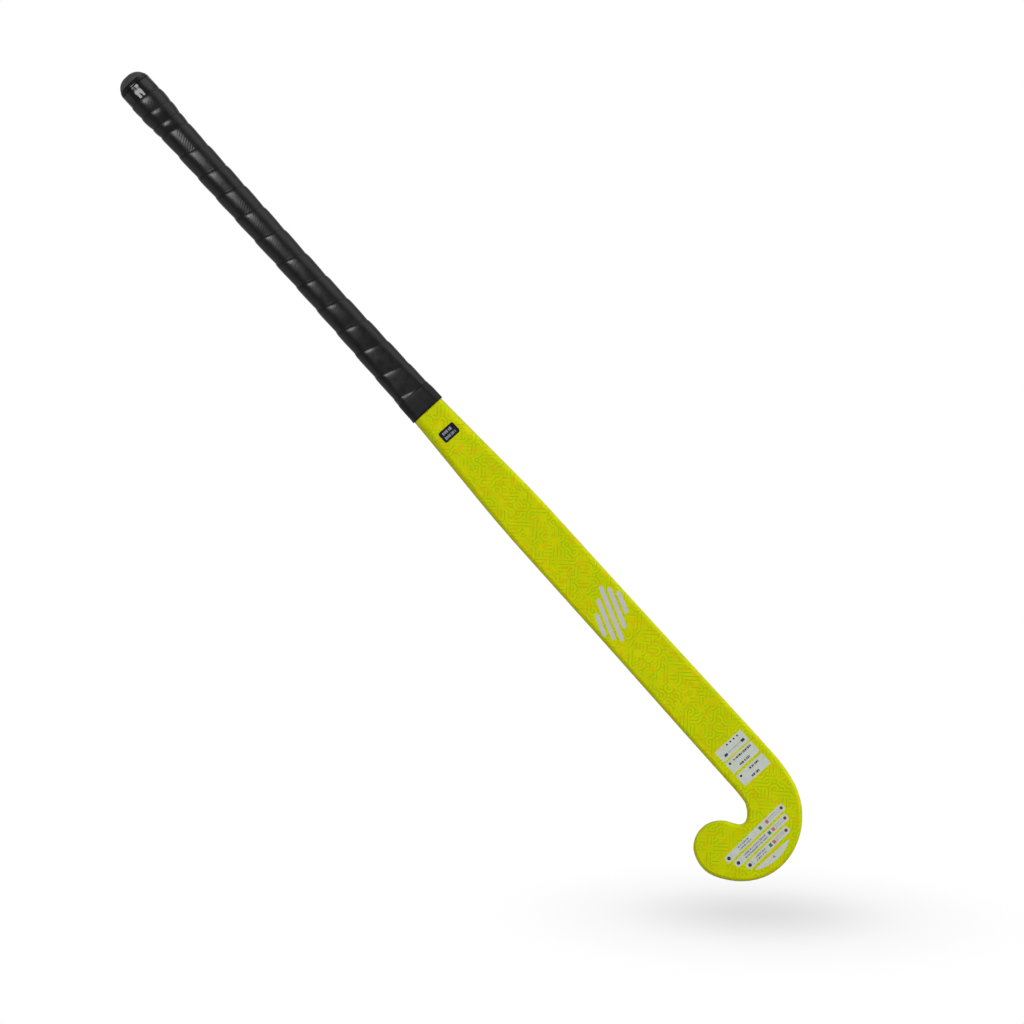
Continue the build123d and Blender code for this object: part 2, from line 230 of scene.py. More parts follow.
def maze(tree, across, along, plane):
    """Pairs of lines over a diagonal grid of square cells, which join up from cell to cell."""
    diagonal = CELL * sqrt(2)
    a = maths(tree, "DIVIDE", maths(tree, "ADD", across, along), diagonal)
    b = maths(tree, "DIVIDE", maths(tree, "SUBTRACT", along, across), diagonal)
    cell = {0: maths(tree, "FLOOR", a), 1: maths(tree, "FLOOR", b), 2: plane}
    home = add(tree, "CombineXYZ", cell).outputs[0]
    chance = add(tree, "TexWhiteNoise", {"Vector": home}, noise_dimensions="3D")
    kind, flip, swap = add(tree, "SeparateColor", {0: chance.outputs["Color"]}).outputs
    p = maths(tree, "SUBTRACT", maths(tree, "FRACT", a), 0.5)
    q = maths(tree, "SUBTRACT", maths(tree, "FRACT", b), 0.5)
    p = maths(tree, "MULTIPLY", p, maths(tree, "SIGN", maths(tree, "SUBTRACT", flip, 0.5)))
    swapped = maths(tree, "GREATER_THAN", swap, 0.5)
    u = either(tree, swapped, p, q)
    v = either(tree, swapped, q, p)
    # Arcs round one corner of the cell, over those round the opposite corner
    point = add(tree, "CombineXYZ", {0: u, 1: v}).outputs[0]
    corners = ((0.5, 0.5, 0), (-0.5, -0.5, 0))
    near, far = (add(tree, "VectorMath", {0: point, 1: corner}, operation="DISTANCE").outputs["Value"]
                 for corner in corners)
    beyond = maths(tree, "GREATER_THAN", near, ARC_REACH)
    arcs = either(tree, beyond, between_lines(tree, near), between_lines(tree, far))
    straight = between_lines(tree, maths(tree, "ADD", u, 0.5))
    distance = either(tree, maths(tree, "GREATER_THAN", kind, ARC_SHARE), arcs, straight)
    plain = maths(tree, "GREATER_THAN", kind, STRAIGHT_SHARE)
    distance = maths(tree, "ADD", distance, plain)
    core = (LINE_WIDTH - LINE_SOFTNESS) / CELL
    rim = (LINE_WIDTH + LINE_SOFTNESS) / CELL
    return ramp(tree, distance, core, rim, 1.0, 0.0)


def lacquer():
    """Satin lime yellow lacquer over a print of fine green lines and warmer patches."""
    made, tree, shader = new_material("lacquer", specular=0.3, tint=YELLOW_SHEEN)
    place = object_place(tree)
    deeper = patches(tree, place, 24 * MM, 2.0, span=(0.38, 0.62))
    colour = blend_colours(tree, deeper, LIME, LIME_DEEP)
    warmer = patches(tree, place, 5 * MM, 2.0, 0.0, 0.75, span=(0.5, 0.62))
    colour = blend_colours(tree, warmer, colour, WARM)
    fade = patches(tree, place, 8 * MM, 3.0, 0.3, 1.0, span=(0.36, 0.6))
    drawn = maths(tree, "MULTIPLY", maze(tree, *flat_map(tree)), fade)
    colour = blend_colours(tree, drawn, colour, LINE_GREEN)
    tree.links.new(colour, shader.inputs["Base Color"])
    polish(tree, shader, patches(tree, place, 5 * MM, 4.0, 0.36, 0.48, span=(0.35, 0.75)))
    add_bump(tree, shader, noise(tree, place, 0.9 * MM, 1.0), 0.02 * MM, 0.5)
    return made


# ---------------------------------------------------------------- the dark materials of the handle

RIB_PITCH = 2.0 * MM
# The ribs are worn down the handle: full above the second of these heights, and faint below the first
RIBS_FADE = (0.68, 0.84)
RIBS_FAINT = 0.15
RIBS_FULL = 0.8
# The groove round the collar: its height, how far from its middle its floor and its edge lie, and how deep
# it is against the waves in the collar's shine
GROOVE_HEIGHT = 0.9150
GROOVE_REACH = (0.2 * MM, 1.4 * MM)
GROOVE_DEPTH = 0.5


def cushion_tape_material():
    """Soft dark tape, with fine slanting ribs pressed into it and pores between them."""
    made, tree, shader = new_material("cushion_tape", specular=0.45)
    place = object_place(tree)
    wrapped = add(tree, "UVMap", uv_map="Tape").outputs["UV"]
    u, v, _ = add(tree, "SeparateXYZ", {0: wrapped}).outputs
    slanted = maths(tree, "DIVIDE", maths(tree, "ADD", u, v), RIB_PITCH * sqrt(2))
    ribs = ramp(tree, maths(tree, "PINGPONG", slanted, 0.5), 0.1, 0.4)
    worn = patches(tree, place, 30 * MM, 1.0, 0.1, 1.0, span=(0.42, 0.62))
    fade = ramp(tree, height_of(tree, place), *RIBS_FADE, RIBS_FAINT, RIBS_FULL)
    ribs = maths(tree, "MULTIPLY", ribs, maths(tree, "MULTIPLY", worn, fade))
    pores = maths(tree, "MULTIPLY", noise(tree, place, 0.5 * MM, 3.0), 0.5)
    add_bump(tree, shader, maths(tree, "ADD", ribs, pores), 0.08 * MM, 0.6)
    paint(tree, shader, "cushion_tape", patches(tree, place, 12 * MM, 3.0))
    polish(tree, shader, patches(tree, place, 7 * MM, 4.0, 0.24, 0.34))
    return made


def vinyl_tape_material():
    """Smooth black tape with the faint lines of its stretch."""
    made, tree, shader = new_material("vinyl_tape", specular=0.3)
    place = object_place(tree)
    stretched = add(tree, "Mapping", {"Vector": place, "Scale": (0.25, 0.25, 1.0)}).outputs[0]
    add_bump(tree, shader, noise(tree, stretched, 0.8 * MM, 3.0), 0.04 * MM, 0.6)
    paint(tree, shader, "vinyl_tape", patches(tree, place, 9 * MM, 3.0))
    polish(tree, shader, patches(tree, place, 4 * MM, 4.0, 0.34, 0.5))
    return made


def butt_rubber_material():
    """Moulded rubber with a fine sand-blasted grain, worn smoother in places."""
    made, tree, shader = new_material("butt_rubber", specular=0.45)
    place = object_place(tree)
    add_bump(tree, shader, noise(tree, place, 0.45 * MM, 4.0), 0.06 * MM, 0.7)
    paint(tree, shader, "butt_rubber", patches(tree, place, 5 * MM, 4.0))
    polish(tree, shader, patches(tree, place, 3 * MM, 4.0, 0.36, 0.5))
    return made


def gloss_band_material():
    """Glossy black film, drawn tight, with slow waves in its shine and a groove round it."""
    made, tree, shader = new_material("gloss_band")
    place = object_place(tree)
    waves = noise(tree, place, 10 * MM, 0.0)
    from_groove = maths(tree, "ABSOLUTE", maths(tree, "SUBTRACT", height_of(tree, place), GROOVE_HEIGHT))
    groove = ramp(tree, from_groove, *GROOVE_REACH, -GROOVE_DEPTH, 0.0)
    add_bump(tree, shader, maths(tree, "ADD", waves, groove), 1.6 * MM, 1.0)
    paint(tree, shader, "gloss_band", patches(tree, place, 1.2 * MM, 4.0, span=(0.5, 0.75)))
    polish(tree, shader, patches(tree, place, 2 * MM, 4.0, 0.07, 0.16, span=(0.4, 0.8)))
    return made


# ---------------------------------------------------------------- films and prints


def film_material(name, specular=0.45):
    """Printed film: a colour with a slight mottle, and a faint grain."""
    made, tree, shader = new_material(name, specular=specular)
    place = object_place(tree)
    paint(tree, shader, name, patches(tree, place, 3 * MM, 3.0))
    polish(tree, shader, patches(tree, place, 2 * MM, 3.0, 0.34, 0.48))
    add_bump(tree, shader, noise(tree, place, 0.35 * MM, 2.0), 0.01 * MM, 0.4)
    return made


# ---------------------------------------------------------------- the inside, which doesn't show

TOW_WIDTH = 2.4 * MM


def laminate_material():
    """Bare woven laminate: two directions of dark fibre."""
    made, tree, shader = new_material("bare_laminate", roughness=0.4)
    x, y, z = add(tree, "SeparateXYZ", {0: object_place(tree)}).outputs
    per_metre = 2 * pi / TOW_WIDTH
    warp = maths(tree, "SINE", maths(tree, "MULTIPLY", maths(tree, "ADD", x, z), per_metre))
    weft = maths(tree, "SINE", maths(tree, "MULTIPLY", maths(tree, "SUBTRACT", z, x), per_metre))
    weave = ramp(tree, maths(tree, "MULTIPLY", warp, weft), -0.2, 0.2)
    paint(tree, shader, "bare_laminate", weave)
    add_bump(tree, shader, weave, 0.05 * MM, 0.6)
    return made


def foam_material():
    """Cut rigid foam, with open cells."""
    made, tree, shader = new_material("rigid_foam", specular=0.2, roughness=0.9)
    keys = {"Vector": object_place(tree), "Scale": 1 / (0.9 * MM)}
    cells = add(tree, "TexVoronoi", keys).outputs["Distance"]
    paint(tree, shader, "rigid_foam", ramp(tree, cells, 0.1, 0.6))
    add_bump(tree, shader, cells, 0.25 * MM, 0.8)
    return made


def adhesive_material():
    """Thin tape with a slightly uneven layer of adhesive."""
    made, tree, shader = new_material("adhesive_tape")
    place = object_place(tree)
    paint(tree, shader, "adhesive_tape", patches(tree, place, 1.5 * MM, 4.0))
    add_bump(tree, shader, noise(tree, place, 0.4 * MM, 2.0), 0.05 * MM, 0.6)
    return made


# ---------------------------------------------------------------- mesh tools


def smooth(share):
    """A smooth step from 0 to 1."""
    t = min(max(share, 0.0), 1.0)
    return t * t * (3 - 2 * t)


def new_piece(name, points, faces, material, shade_smooth=True):
    """A mesh piece that rides on the stick."""
    mesh = bpy.data.meshes.new(name)
    mesh.from_pydata([tuple(p) for p in points], [], faces)
    mesh.validate()
    mesh.update()
    if shade_smooth:
        mesh.polygons.foreach_set("use_smooth", [True] * len(mesh.polygons))
    made = bpy.data.objects.new(name, mesh)
    bpy.context.scene.collection.objects.link(made)
    mesh.materials.append(material)
    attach(made, "root")
    return made


def surface_of(obj):
    """A tree of an object's faces, for rays."""
    mesh = obj.data
    return BVHTree.FromPolygons([v.co for v in mesh.vertices], [p.vertices for p in mesh.polygons])


# ---------------------------------------------------------------- the wound grip

MOUNTS = {mount["name"]: mount for mount in frame["record"]["mounts"]}
HANDLE_POINT = Vector(MOUNTS["hand_grip"]["pos_m"])
HANDLE_AXIS = Vector(MOUNTS["hand_grip"]["axis"]).normalized()
ACROSS = Vector((1, 0, 0))
BACKWARD = HANDLE_AXIS.cross(ACROSS).normalized()
SLEEVE = surface_of(NODES["cushion_grip"])
SLEEVE_LOW, SLEEVE_HIGH = (corner.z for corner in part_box("cushion_grip"))
SLEEVE_SPAN = [(v.co - HANDLE_POINT).dot(HANDLE_AXIS) for v in NODES["cushion_grip"].data.vertices]
END_MARGIN = 0.4 * MM

# Where the first turn's upper edge crosses the front, and how much of each turn shows there, from the butt
# down in millimetres
FIRST_EDGE = 0.917
TURN_WIDTHS = (15, 15, 14, 10.5, 25.8, 25, 24, 26, 27, 29, 27, 28, 27, 26, 28, 26, 26, 26)
TURN_EDGES = [FIRST_EDGE - sum(TURN_WIDTHS[:k]) * MM for k in range(len(TURN_WIDTHS) + 1)]
STEPS_PER_TURN = 96
# Lengths along the tape are measured at this radius
MEAN_RADIUS = 14.5 * MM
# Where the sleeve is thinner than this, the turns step less
FULL_THICKNESS = 1.8 * MM
# Each turn's upper edge lies over the turn above, and below that its underside comes down to the handle
TAPE_OVERLAP = 3.2 * MM
TAPE_TUCK = 3 * MM
TAPE_SLIP = 0.02 * MM
# How far a turn stands proud at its crown and lies low at its lower end, and how far down its edge rolls
EDGE_RISE = 0.7 * MM
EDGE_FALL = 0.6 * MM
EDGE_ROLL = 4.6 * MM
FALL_POWER = 1.7
# The points of the tape's outside: the angles over the roll, in degrees, and the steps of the fall under it
ROLL_ANGLES = range(10, 90, 12)
FALL_STEPS = 14
# How far the tape swells over the flats at the handle's front and back, and how far round, in turns
SWELL = 0.8 * MM
SWELL_REACH = 0.11
# At the two sides of the handle the turns step less than they do at its front and back
SIDE_RELIEF = 0.6


def axis_point(height):
    """The point of the handle's axis at a height."""
    return HANDLE_POINT + HANDLE_AXIS * ((height - HANDLE_POINT.z) / HANDLE_AXIS.z)


def outward(turn):
    """The way out from the handle's axis. Turn 0 is the front, and 0.25 is the heel's side."""
    angle = 2 * pi * turn
    return ACROSS * sin(angle) - BACKWARD * cos(angle)


def sleeve_radii(turn, height):
    """The inner and outer radius of the grip's sleeve."""
    inside_ends = min(max(height, SLEEVE_LOW + 3 * END_MARGIN), SLEEVE_HIGH - 3 * END_MARGIN)
    start = axis_point(inside_ends)
    way = outward(turn)
    inner = SLEEVE.ray_cast(start, way)[3]
    outer = SLEEVE.ray_cast(start + way * (inner + TAPE_SLIP), way)[3] + inner + TAPE_SLIP
    return inner, outer


def edge_height(turn):
    """The height of the tape's upper edge after a number of turns, counted from the front."""
    k = min(max(floor(turn), 0), len(TURN_EDGES) - 2)
    share = turn - k
    before = TURN_EDGES[max(k - 1, 0)]
    start, end = TURN_EDGES[k], TURN_EDGES[k + 1]
    after = TURN_EDGES[min(k + 2, len(TURN_EDGES) - 1)]
    slope_in = (end - before) / 2
    slope_out = (after - start) / 2
    change = end - start
    return (start + slope_in * share + (3 * change - 2 * slope_in - slope_out) * share**2
            + (slope_in + slope_out - 2 * change) * share**3)


def relief(turn):
    """The share of its full relief that the tape has at one place along it."""
    return SIDE_RELIEF + (1 - SIDE_RELIEF) * cos(2 * pi * turn) ** 2


def tape_rise(turn, down, width):
    """How far the tape stands proud of the sleeve, at a distance down from its upper edge."""
    step = EDGE_RISE + EDGE_FALL
    if down < EDGE_ROLL:
        rise = step * sqrt(1 - (1 - down / EDGE_ROLL) ** 2) - EDGE_FALL
    else:
        rise = EDGE_RISE - step * min(1.0, (down - EDGE_ROLL) / (width - EDGE_ROLL)) ** FALL_POWER
    # The flats are at the whole and the half turns
    from_flat = abs((turn + 0.25) % 0.5 - 0.25)
    swell = SWELL * cos(pi / 2 * min(1.0, from_flat / SWELL_REACH)) ** 2
    return rise * relief(turn) + swell


def tape_section(turn):
    """The points of the tape's section at one place along it: (turn, height, radius)."""
    top = edge_height(turn)
    width = top - edge_height(turn + 1)
    bottom = width + TAPE_OVERLAP
    inner, outer = sleeve_radii(turn, top - width / 2)
    scale = min(1.0, (outer - inner) / FULL_THICKNESS)
    outside = [EDGE_ROLL * (1 - cos(radians(angle))) for angle in ROLL_ANGLES]
    outside += [EDGE_ROLL + (bottom - EDGE_ROLL) * k / FALL_STEPS for k in range(FALL_STEPS + 1)]
    section = []
    for down in outside:
        inner, outer = sleeve_radii(turn, top - down)
        section.append((turn, top - down, outer + tape_rise(turn, down, width) * scale))
    for down in (bottom, TAPE_OVERLAP + TAPE_TUCK, TAPE_OVERLAP, 0.0):
        inner, outer = sleeve_radii(turn, top - down)
        under = outer + tape_rise(turn, width, width) * scale + TAPE_SLIP
        share = smooth((down - TAPE_OVERLAP) / TAPE_TUCK)
        section.append((turn, top - down, under + (inner + TAPE_SLIP - under) * share))
    return section


def cut_square(mesh, along, way):
    """Cuts a mesh square to the handle, takes away what lies on one side and closes the cut."""
    work = bmesh.new()
    work.from_mesh(mesh)
    everything = work.verts[:] + work.edges[:] + work.faces[:]
    point = HANDLE_POINT + HANDLE_AXIS * along
    cut = bmesh.ops.bisect_plane(work, geom=everything, plane_co=point, plane_no=HANDLE_AXIS * way,
                                 clear_outer=True)
    rim = [edge for edge in cut["geom_cut"] if isinstance(edge, bmesh.types.BMEdge)]
    bmesh.ops.edgenet_fill(work, edges=rim)
    bmesh.ops.recalc_face_normals(work, faces=work.faces)
    work.to_mesh(mesh)
    work.free()


def wound_grip(material):
    """The cushion tape, wound down the handle in one closed strip. Each turn laps over the one above."""
    count = (len(TURN_EDGES) - 2) * STEPS_PER_TURN
    points, wraps, faces = [], [], []
    for k in range(count + 1):
        turn = k / STEPS_PER_TURN
        section = tape_section(turn)
        top = edge_height(turn)
        for around, height, radius in section:
            points.append(axis_point(height) + outward(around) * radius)
            wraps.append((around * 2 * pi * MEAN_RADIUS, top - height))
    n = len(section)
    for k in range(count):
        for i in range(n):
            j = (i + 1) % n
            faces.append((k * n + i, k * n + j, (k + 1) * n + j, (k + 1) * n + i))
    faces.append(tuple(range(n)))
    faces.append(tuple(count * n + i for i in reversed(range(n))))
    made = new_piece("wound_cushion_tape", points, faces, material)
    layer = made.data.uv_layers.new(name="Tape")
    for loop in made.data.loops:
        layer.data[loop.index].uv = wraps[loop.vertex_index]
    cut_square(made.data, max(SLEEVE_SPAN) - TAPE_SLIP, 1)
    cut_square(made.data, min(SLEEVE_SPAN) + TAPE_SLIP, -1)
    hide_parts("cushion_grip")


# ---------------------------------------------------------------- the tape that closes the grip

CLOSING_STEPS = 120
CLOSING_ROWS = 16
CLOSING_THICKNESS = 0.3 * MM
# The share of its thickness that it has at its two edges
RIM_SHARE = 0.6
# The tape's own end: where it starts and stops and how long it thins out, in turns, and how far it rises
LAP_START = 0.52
LAP_END = 0.64
LAP_FADE = 1 / 12
LAP_RISE = 0.14 * MM
# How far along the handle the tape drapes over a step of the wound tape, and the places it rests on
CLOSING_DRAPE = 1.6 * MM
DRAPE_SHARES = (-1, -0.5, 0, 0.5, 1)


def wound_radius(turn, height):
    """The outer radius of the wound tape, for a turn from 0 to 1 round the handle."""
    k = 0
    while k < len(TURN_EDGES) - 3 and edge_height(turn + k + 1) > height:
        k += 1
    top = edge_height(turn + k)
    width = top - edge_height(turn + k + 1)
    inner, outer = sleeve_radii(turn, height)
    scale = min(1.0, (outer - inner) / FULL_THICKNESS)
    return outer + tape_rise(turn, max(top - height, 0), width) * scale


def closing_radius(turn, height):
    """The radius that the closing tape lies at, as it bridges the steps of the wound tape."""
    radii = [wound_radius(turn, height + CLOSING_DRAPE * share) for share in DRAPE_SHARES]
    return sum(radii) / len(radii)


def closing_tape(material):
    """The smooth tape round the lower end of the grip: a thin closed band with a lapped end."""
    low, high = (corner.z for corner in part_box("grip_finishing_tape"))
    points = []
    for row in range(CLOSING_ROWS + 1):
        for step in range(CLOSING_STEPS):
            turn = step / CLOSING_STEPS
            height = low + END_MARGIN + (high - low - 2 * END_MARGIN) * row / CLOSING_ROWS
            radius = closing_radius(turn, height) + TAPE_SLIP
            lap = smooth((turn - LAP_START) * CLOSING_STEPS) * smooth((LAP_END - turn) / LAP_FADE)
            thickness = CLOSING_THICKNESS + LAP_RISE * lap
            if row in (0, CLOSING_ROWS):
                thickness *= RIM_SHARE
            centre = axis_point(height)
            points.append(centre + outward(turn) * (radius + thickness))
            points.append(centre + outward(turn) * radius)
    faces = []
    ring = 2 * CLOSING_STEPS
    for row in range(CLOSING_ROWS):
        for step in range(CLOSING_STEPS):
            a = row * ring + 2 * step
            b = row * ring + 2 * ((step + 1) % CLOSING_STEPS)
            faces.append((a, b, b + ring, a + ring))
            faces.append((a + 1, a + 1 + ring, b + 1 + ring, b + 1))
    for row in (0, CLOSING_ROWS):
        for step in range(CLOSING_STEPS):
            a = row * ring + 2 * step
            b = row * ring + 2 * ((step + 1) % CLOSING_STEPS)
            rim = (a, a + 1, b + 1, b)
            faces.append(rim if row == 0 else rim[::-1])
    made = new_piece("closing_tape", points, faces, material)
    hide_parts("grip_finishing_tape")


# ---------------------------------------------------------------- the prints on the labels

INK_RISE = 0.05 * MM
INK_DEPTH = 0.03 * MM
RAY_START = 10 * MM
STRIP_TILT = radians(2)
PRINT_CHANCE = random.Random(7)
# From here on, places on a label are from its middle, and all sizes are in millimetres. A line of print is
# a row of blocks, with these widths, shares of its height and multiples of the gap between them
BLOCK_WIDTHS = (0.7, 1.0, 1.3, 1.8)
BLOCK_HEIGHTS = (0.75, 0.9, 1.0)
BLOCK_GAP = 0.45
GAPS = (1, 1, 1, 2.2)
NARROWEST_BLOCK = 0.6
# The lines of the scales
RULE_WIDTH = 0.3
TICK_WIDTH = 0.25
TICK_LENGTH = 0.7
DISC_SIDES = 20


class LabelPrint:
    """Thin raised shapes of ink on one label, gathered by colour."""

    def __init__(self, label, inks, tilt=0.0):
        low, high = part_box(label)
        self.label = label
        self.inks = inks
        self.middle = (low + high) / 2
        self.start = low.y - RAY_START
        self.surface = surface_of(NODES[label])
        self.across = Vector((cos(tilt), 0, sin(tilt)))
        self.up = Vector((-sin(tilt), 0, cos(tilt)))
        self.shapes = {}

    def shape(self, ink, outline):
        """A closed prism of ink with an outline of (x, z) points."""
        points, faces = self.shapes.setdefault(ink, ([], []))
        first = len(points)
        n = len(outline)
        rings = []
        for x, z in outline:
            place = self.middle + self.across * (x * MM) + self.up * (z * MM)
            place.y = self.start
            hit = self.surface.ray_cast(place, -TOWARDS)[0]
            rings.append((hit + TOWARDS * INK_RISE, hit - TOWARDS * INK_DEPTH))
        points.extend(front for front, back in rings)
        points.extend(back for front, back in rings)
        faces.append(tuple(first + k for k in range(n)))
        faces.append(tuple(first + n + k for k in reversed(range(n))))
        for k in range(n):
            j = (k + 1) % n
            faces.append((first + j, first + k, first + n + k, first + n + j))

    def bar(self, ink, x, z, width, height):
        """A rectangle round its middle."""
        left, right, low, high = x - width / 2, x + width / 2, z - height / 2, z + height / 2
        self.shape(ink, [(left, low), (right, low), (right, high), (left, high)])

    def disc(self, ink, x, z, radius):
        """A round spot."""
        turns = [2 * pi * k / DISC_SIDES for k in range(DISC_SIDES)]
        self.shape(ink, [(x + radius * cos(t), z + radius * sin(t)) for t in turns])

    def words(self, ink, left, right, z, height):
        """A row of small blocks that fills the space of a line of print, with no letters in it."""
        x = left
        while x < right - NARROWEST_BLOCK:
            width = min(PRINT_CHANCE.choice(BLOCK_WIDTHS), right - x)
            tall = height * PRINT_CHANCE.choice(BLOCK_HEIGHTS)
            self.bar(ink, x + width / 2, z, width, tall)
            x += width + BLOCK_GAP * PRINT_CHANCE.choice(GAPS)

    def scale(self, ink, left, right, z, ticks):
        """A thin ruled line with short marks under it."""
        self.bar(ink, (left + right) / 2, z, right - left, RULE_WIDTH)
        for k in range(ticks):
            along = left + (right - left) * k / (ticks - 1)
            self.bar(ink, along, z - TICK_LENGTH, TICK_WIDTH, TICK_LENGTH)

    def finish(self):
        """Makes one piece of each colour."""
        for ink, (points, faces) in self.shapes.items():
            name = f"{self.label}_{ink}"
            new_piece(name, points, faces, self.inks[ink], shade_smooth=False)


# The upper panel: four small squares over two blocks (x, z, width, height), and a scale between the blocks
SQUARES = [(-2.6 + 4.1 * k, 4.0, 1.5, 1.5) for k in range(4)]
BLOCKS = [(-9.4, -2.5, 3.4, 2.4), (10.8, -2.3, 3.6, 2.6)]
PANEL_SCALE = (-6.6, 7.8, -1.9)
# The other two panels: a diamond, and the left end, right end and height of each line of print
DIAMOND = ((-12.1, 1.7), (-10.6, 3.1), (-12.1, 4.5), (-13.6, 3.1))
PANEL_LINES = {
    "middle": ((-7.6, 13.4, 3.4), (-6.1, 5.9, -3.3)),
    "lower": ((-1.8, 8.8, 3.2), (-4.7, 4.2, -3.4)),
}
PANEL_PRINT = 1.9


def print_panels(inks):
    """The three panels above the head: small marks, a scale between two blocks, and short lines."""
    sheet = LabelPrint("spec_panel_upper", inks)
    for mark in SQUARES + BLOCKS:
        sheet.bar("dark_ink", *mark)
    sheet.scale("blue_ink", *PANEL_SCALE, ticks=9)
    sheet.finish()
    for name, lines in PANEL_LINES.items():
        sheet = LabelPrint("spec_panel_" + name, inks)
        sheet.shape("dark_ink", DIAMOND)
        for left, right, z in lines:
            sheet.words("dark_ink", left, right, z, PANEL_PRINT)
        sheet.finish()


# Where the marks lie along each strip: icon, line of words, green and red marks, scale and dot
STRIP_MARKS = {
    "upper": (-32.6, (-20.0, -6.0), 6.8, 15.1, (18.2, 30.0), 33.0),
    "middle": (-28.9, (-21.0, 6.4), 10.2, 14.9, (17.4, 26.6), 29.4),
    "lower": (-22.4, (-15.0, -2.0), 3.5, 8.0, (10.5, 19.6), 22.7),
}
# Their sizes: the icon and the dot, the green and red marks, the lines by the icon, and the lines of print
ICON_RADIUS = 1.7
DOT_RADIUS = 1.5
MARK_SIZE = (2.9, 3.2)
ICON_LINES = [(1.5 - 1.5 * k, 0.7, 0.5) for k in range(3)]
ICON_GAP = 3.6
STRIP_LINES = (1.25, -1.25)
STRIP_PRINT = 1.5


def print_strips(inks):
    """The strips on the head: an icon, two short lines, a green and a red mark, a scale and a dot."""
    for name, (icon, (left, right), green, red, scale, dot) in STRIP_MARKS.items():
        sheet = LabelPrint("head_strip_" + name, inks, STRIP_TILT)
        sheet.disc("dark_ink", icon, 0.0, ICON_RADIUS)
        for line in ICON_LINES:
            sheet.bar("blue_ink", icon + ICON_GAP, *line)
        for z in STRIP_LINES:
            sheet.words("blue_ink", left, right, z, STRIP_PRINT)
        sheet.bar("green_ink", green, 0.0, *MARK_SIZE)
        sheet.bar("red_ink", red, 0.0, *MARK_SIZE)
        sheet.scale("blue_ink", *scale, 1.4, ticks=6)
        sheet.scale("blue_ink", *scale, -0.7, ticks=2)
        sheet.disc("maroon_ink", dot, 0.0, DOT_RADIUS)
        sheet.finish()


# The crescent's arrowhead, and the badge's two lines: how high each is and how far it reaches both ways
ARROWHEAD = ((-1.6, -0.9), (0.0, 0.1), (1.6, -0.9), (0.0, 1.4))
BADGE_LINES = ((2.3, 5.6), (-2.3, 6.3))
BADGE_PRINT = 3.0


def print_crescent_and_badge(inks):
    """An arrowhead on the crescent under the strips, and two lines of print on the badge."""
    sheet = LabelPrint("head_crescent_label", inks)
    sheet.shape("dark_ink", ARROWHEAD)
    sheet.finish()
    sheet = LabelPrint("handle_badge", inks)
    for z, reach in BADGE_LINES:
        sheet.words("pale_ink", -reach, reach, z, BADGE_PRINT)
    sheet.finish()


# ---------------------------------------------------------------- camera, light, and a floor with a painted shadow

# The lights: how far right, up and towards the camera they stand, how wide they are and their power
SOFTBOX = (-0.83, 0.55, 2.3, 1.05, 24)
SIDE_LIGHT = (1.37, 0.43, 0.8, 1.0, 12.5)
# The surroundings as light: their least brightness, and what the two sides and the back add to it
AMBIENT = 0.2
HEEL_SIDE_GLOW = 0.9
TOE_SIDE_GLOW = 0.35
BACK_GLOW = 0.4


def view_point(right, up, towards):
    """A point by how far it lies right, up and towards the camera from the middle of the view."""
    return VIEW_CENTRE + RIGHT * right + UP * up + TOWARDS * towards


def make_camera():
    """The camera stands far off in front of the stick, and is rolled."""
    data = bpy.data.cameras.new("camera")
    data.lens = LENS
    data.sensor_width = SENSOR
    made = bpy.data.objects.new("camera", data)
    distance = VIEW_WIDTH * LENS / SENSOR
    turned = Matrix((RIGHT, UP, TOWARDS)).transposed().to_4x4()
    made.matrix_world = Matrix.Translation(view_point(0, 0, distance)) @ turned
    bpy.context.scene.collection.objects.link(made)
    bpy.context.scene.camera = made


def area_light(name, settings, in_reflections):
    """A round soft light that faces the stick, and shows in its reflections or doesn't."""
    right, up, towards, size, power = settings
    data = bpy.data.lights.new(name, "AREA")
    data.shape = "DISK"
    data.size = size
    data.energy = power
    made = bpy.data.objects.new(name, data)
    made.location = view_point(right, up, towards)
    made.rotation_mode = "QUATERNION"
    made.rotation_quaternion = (VIEW_CENTRE - made.location).to_track_quat("-Z", "Y")
    made.visible_glossy = in_reflections
    bpy.context.scene.collection.objects.link(made)


def make_world():
    """White to the camera. As light it is dim, with a glow from both sides and from behind."""
    world = bpy.data.worlds.new("studio")
    world.use_nodes = True
    tree = world.node_tree
    tree.nodes.clear()
    # The way that a ray goes, with each coordinate from -1 to 1. The camera looks along +Y
    way = add(tree, "SeparateXYZ", {0: add(tree, "TexCoord").outputs["Generated"]})
    in_front = ramp(tree, way.outputs["Y"], -0.2, 0.5, 1.0, 0.0)
    heel_side = ramp(tree, way.outputs["X"], 0.5, 0.95, 0.0, HEEL_SIDE_GLOW)
    heel_side = maths(tree, "MULTIPLY", heel_side, in_front)
    toe_side = ramp(tree, way.outputs["X"], -0.8, -1.0, 0.0, TOE_SIDE_GLOW)
    back = ramp(tree, way.outputs["Y"], 0.2, 1.0, AMBIENT, AMBIENT + BACK_GLOW)
    glow = maths(tree, "ADD", maths(tree, "ADD", heel_side, toe_side), back)
    strength = either(tree, add(tree, "LightPath").outputs["Is Camera Ray"], glow, 1.0)
    background = add(tree, "Background", {"Color": (1, 1, 1, 1), "Strength": strength})
    output = add(tree, "OutputWorld")
    tree.links.new(background.outputs[0], output.inputs[0])
    bpy.context.scene.world = world
    bpy.context.scene.view_settings.view_transform = "Standard"


# The floor, a round that carries a painted shadow under the head: its middle, how wide it is in the
# picture, how much longer it is away from the camera, and the share of its radius that the painted shadow's
# darker core takes
FLOOR_CENTRE = view_point(0.2200, -0.3620, 0.0)
FLOOR_RADIUS = 0.262
FLOOR_STRETCH = 1.35
PAINTED_SHADOW_CORE = 0.55
# The share of light that the painted shadow lets through at its darkest, in the middle
PAINTED_SHADOW_DARKEST = 0.74
FLOOR_SIDES = 96


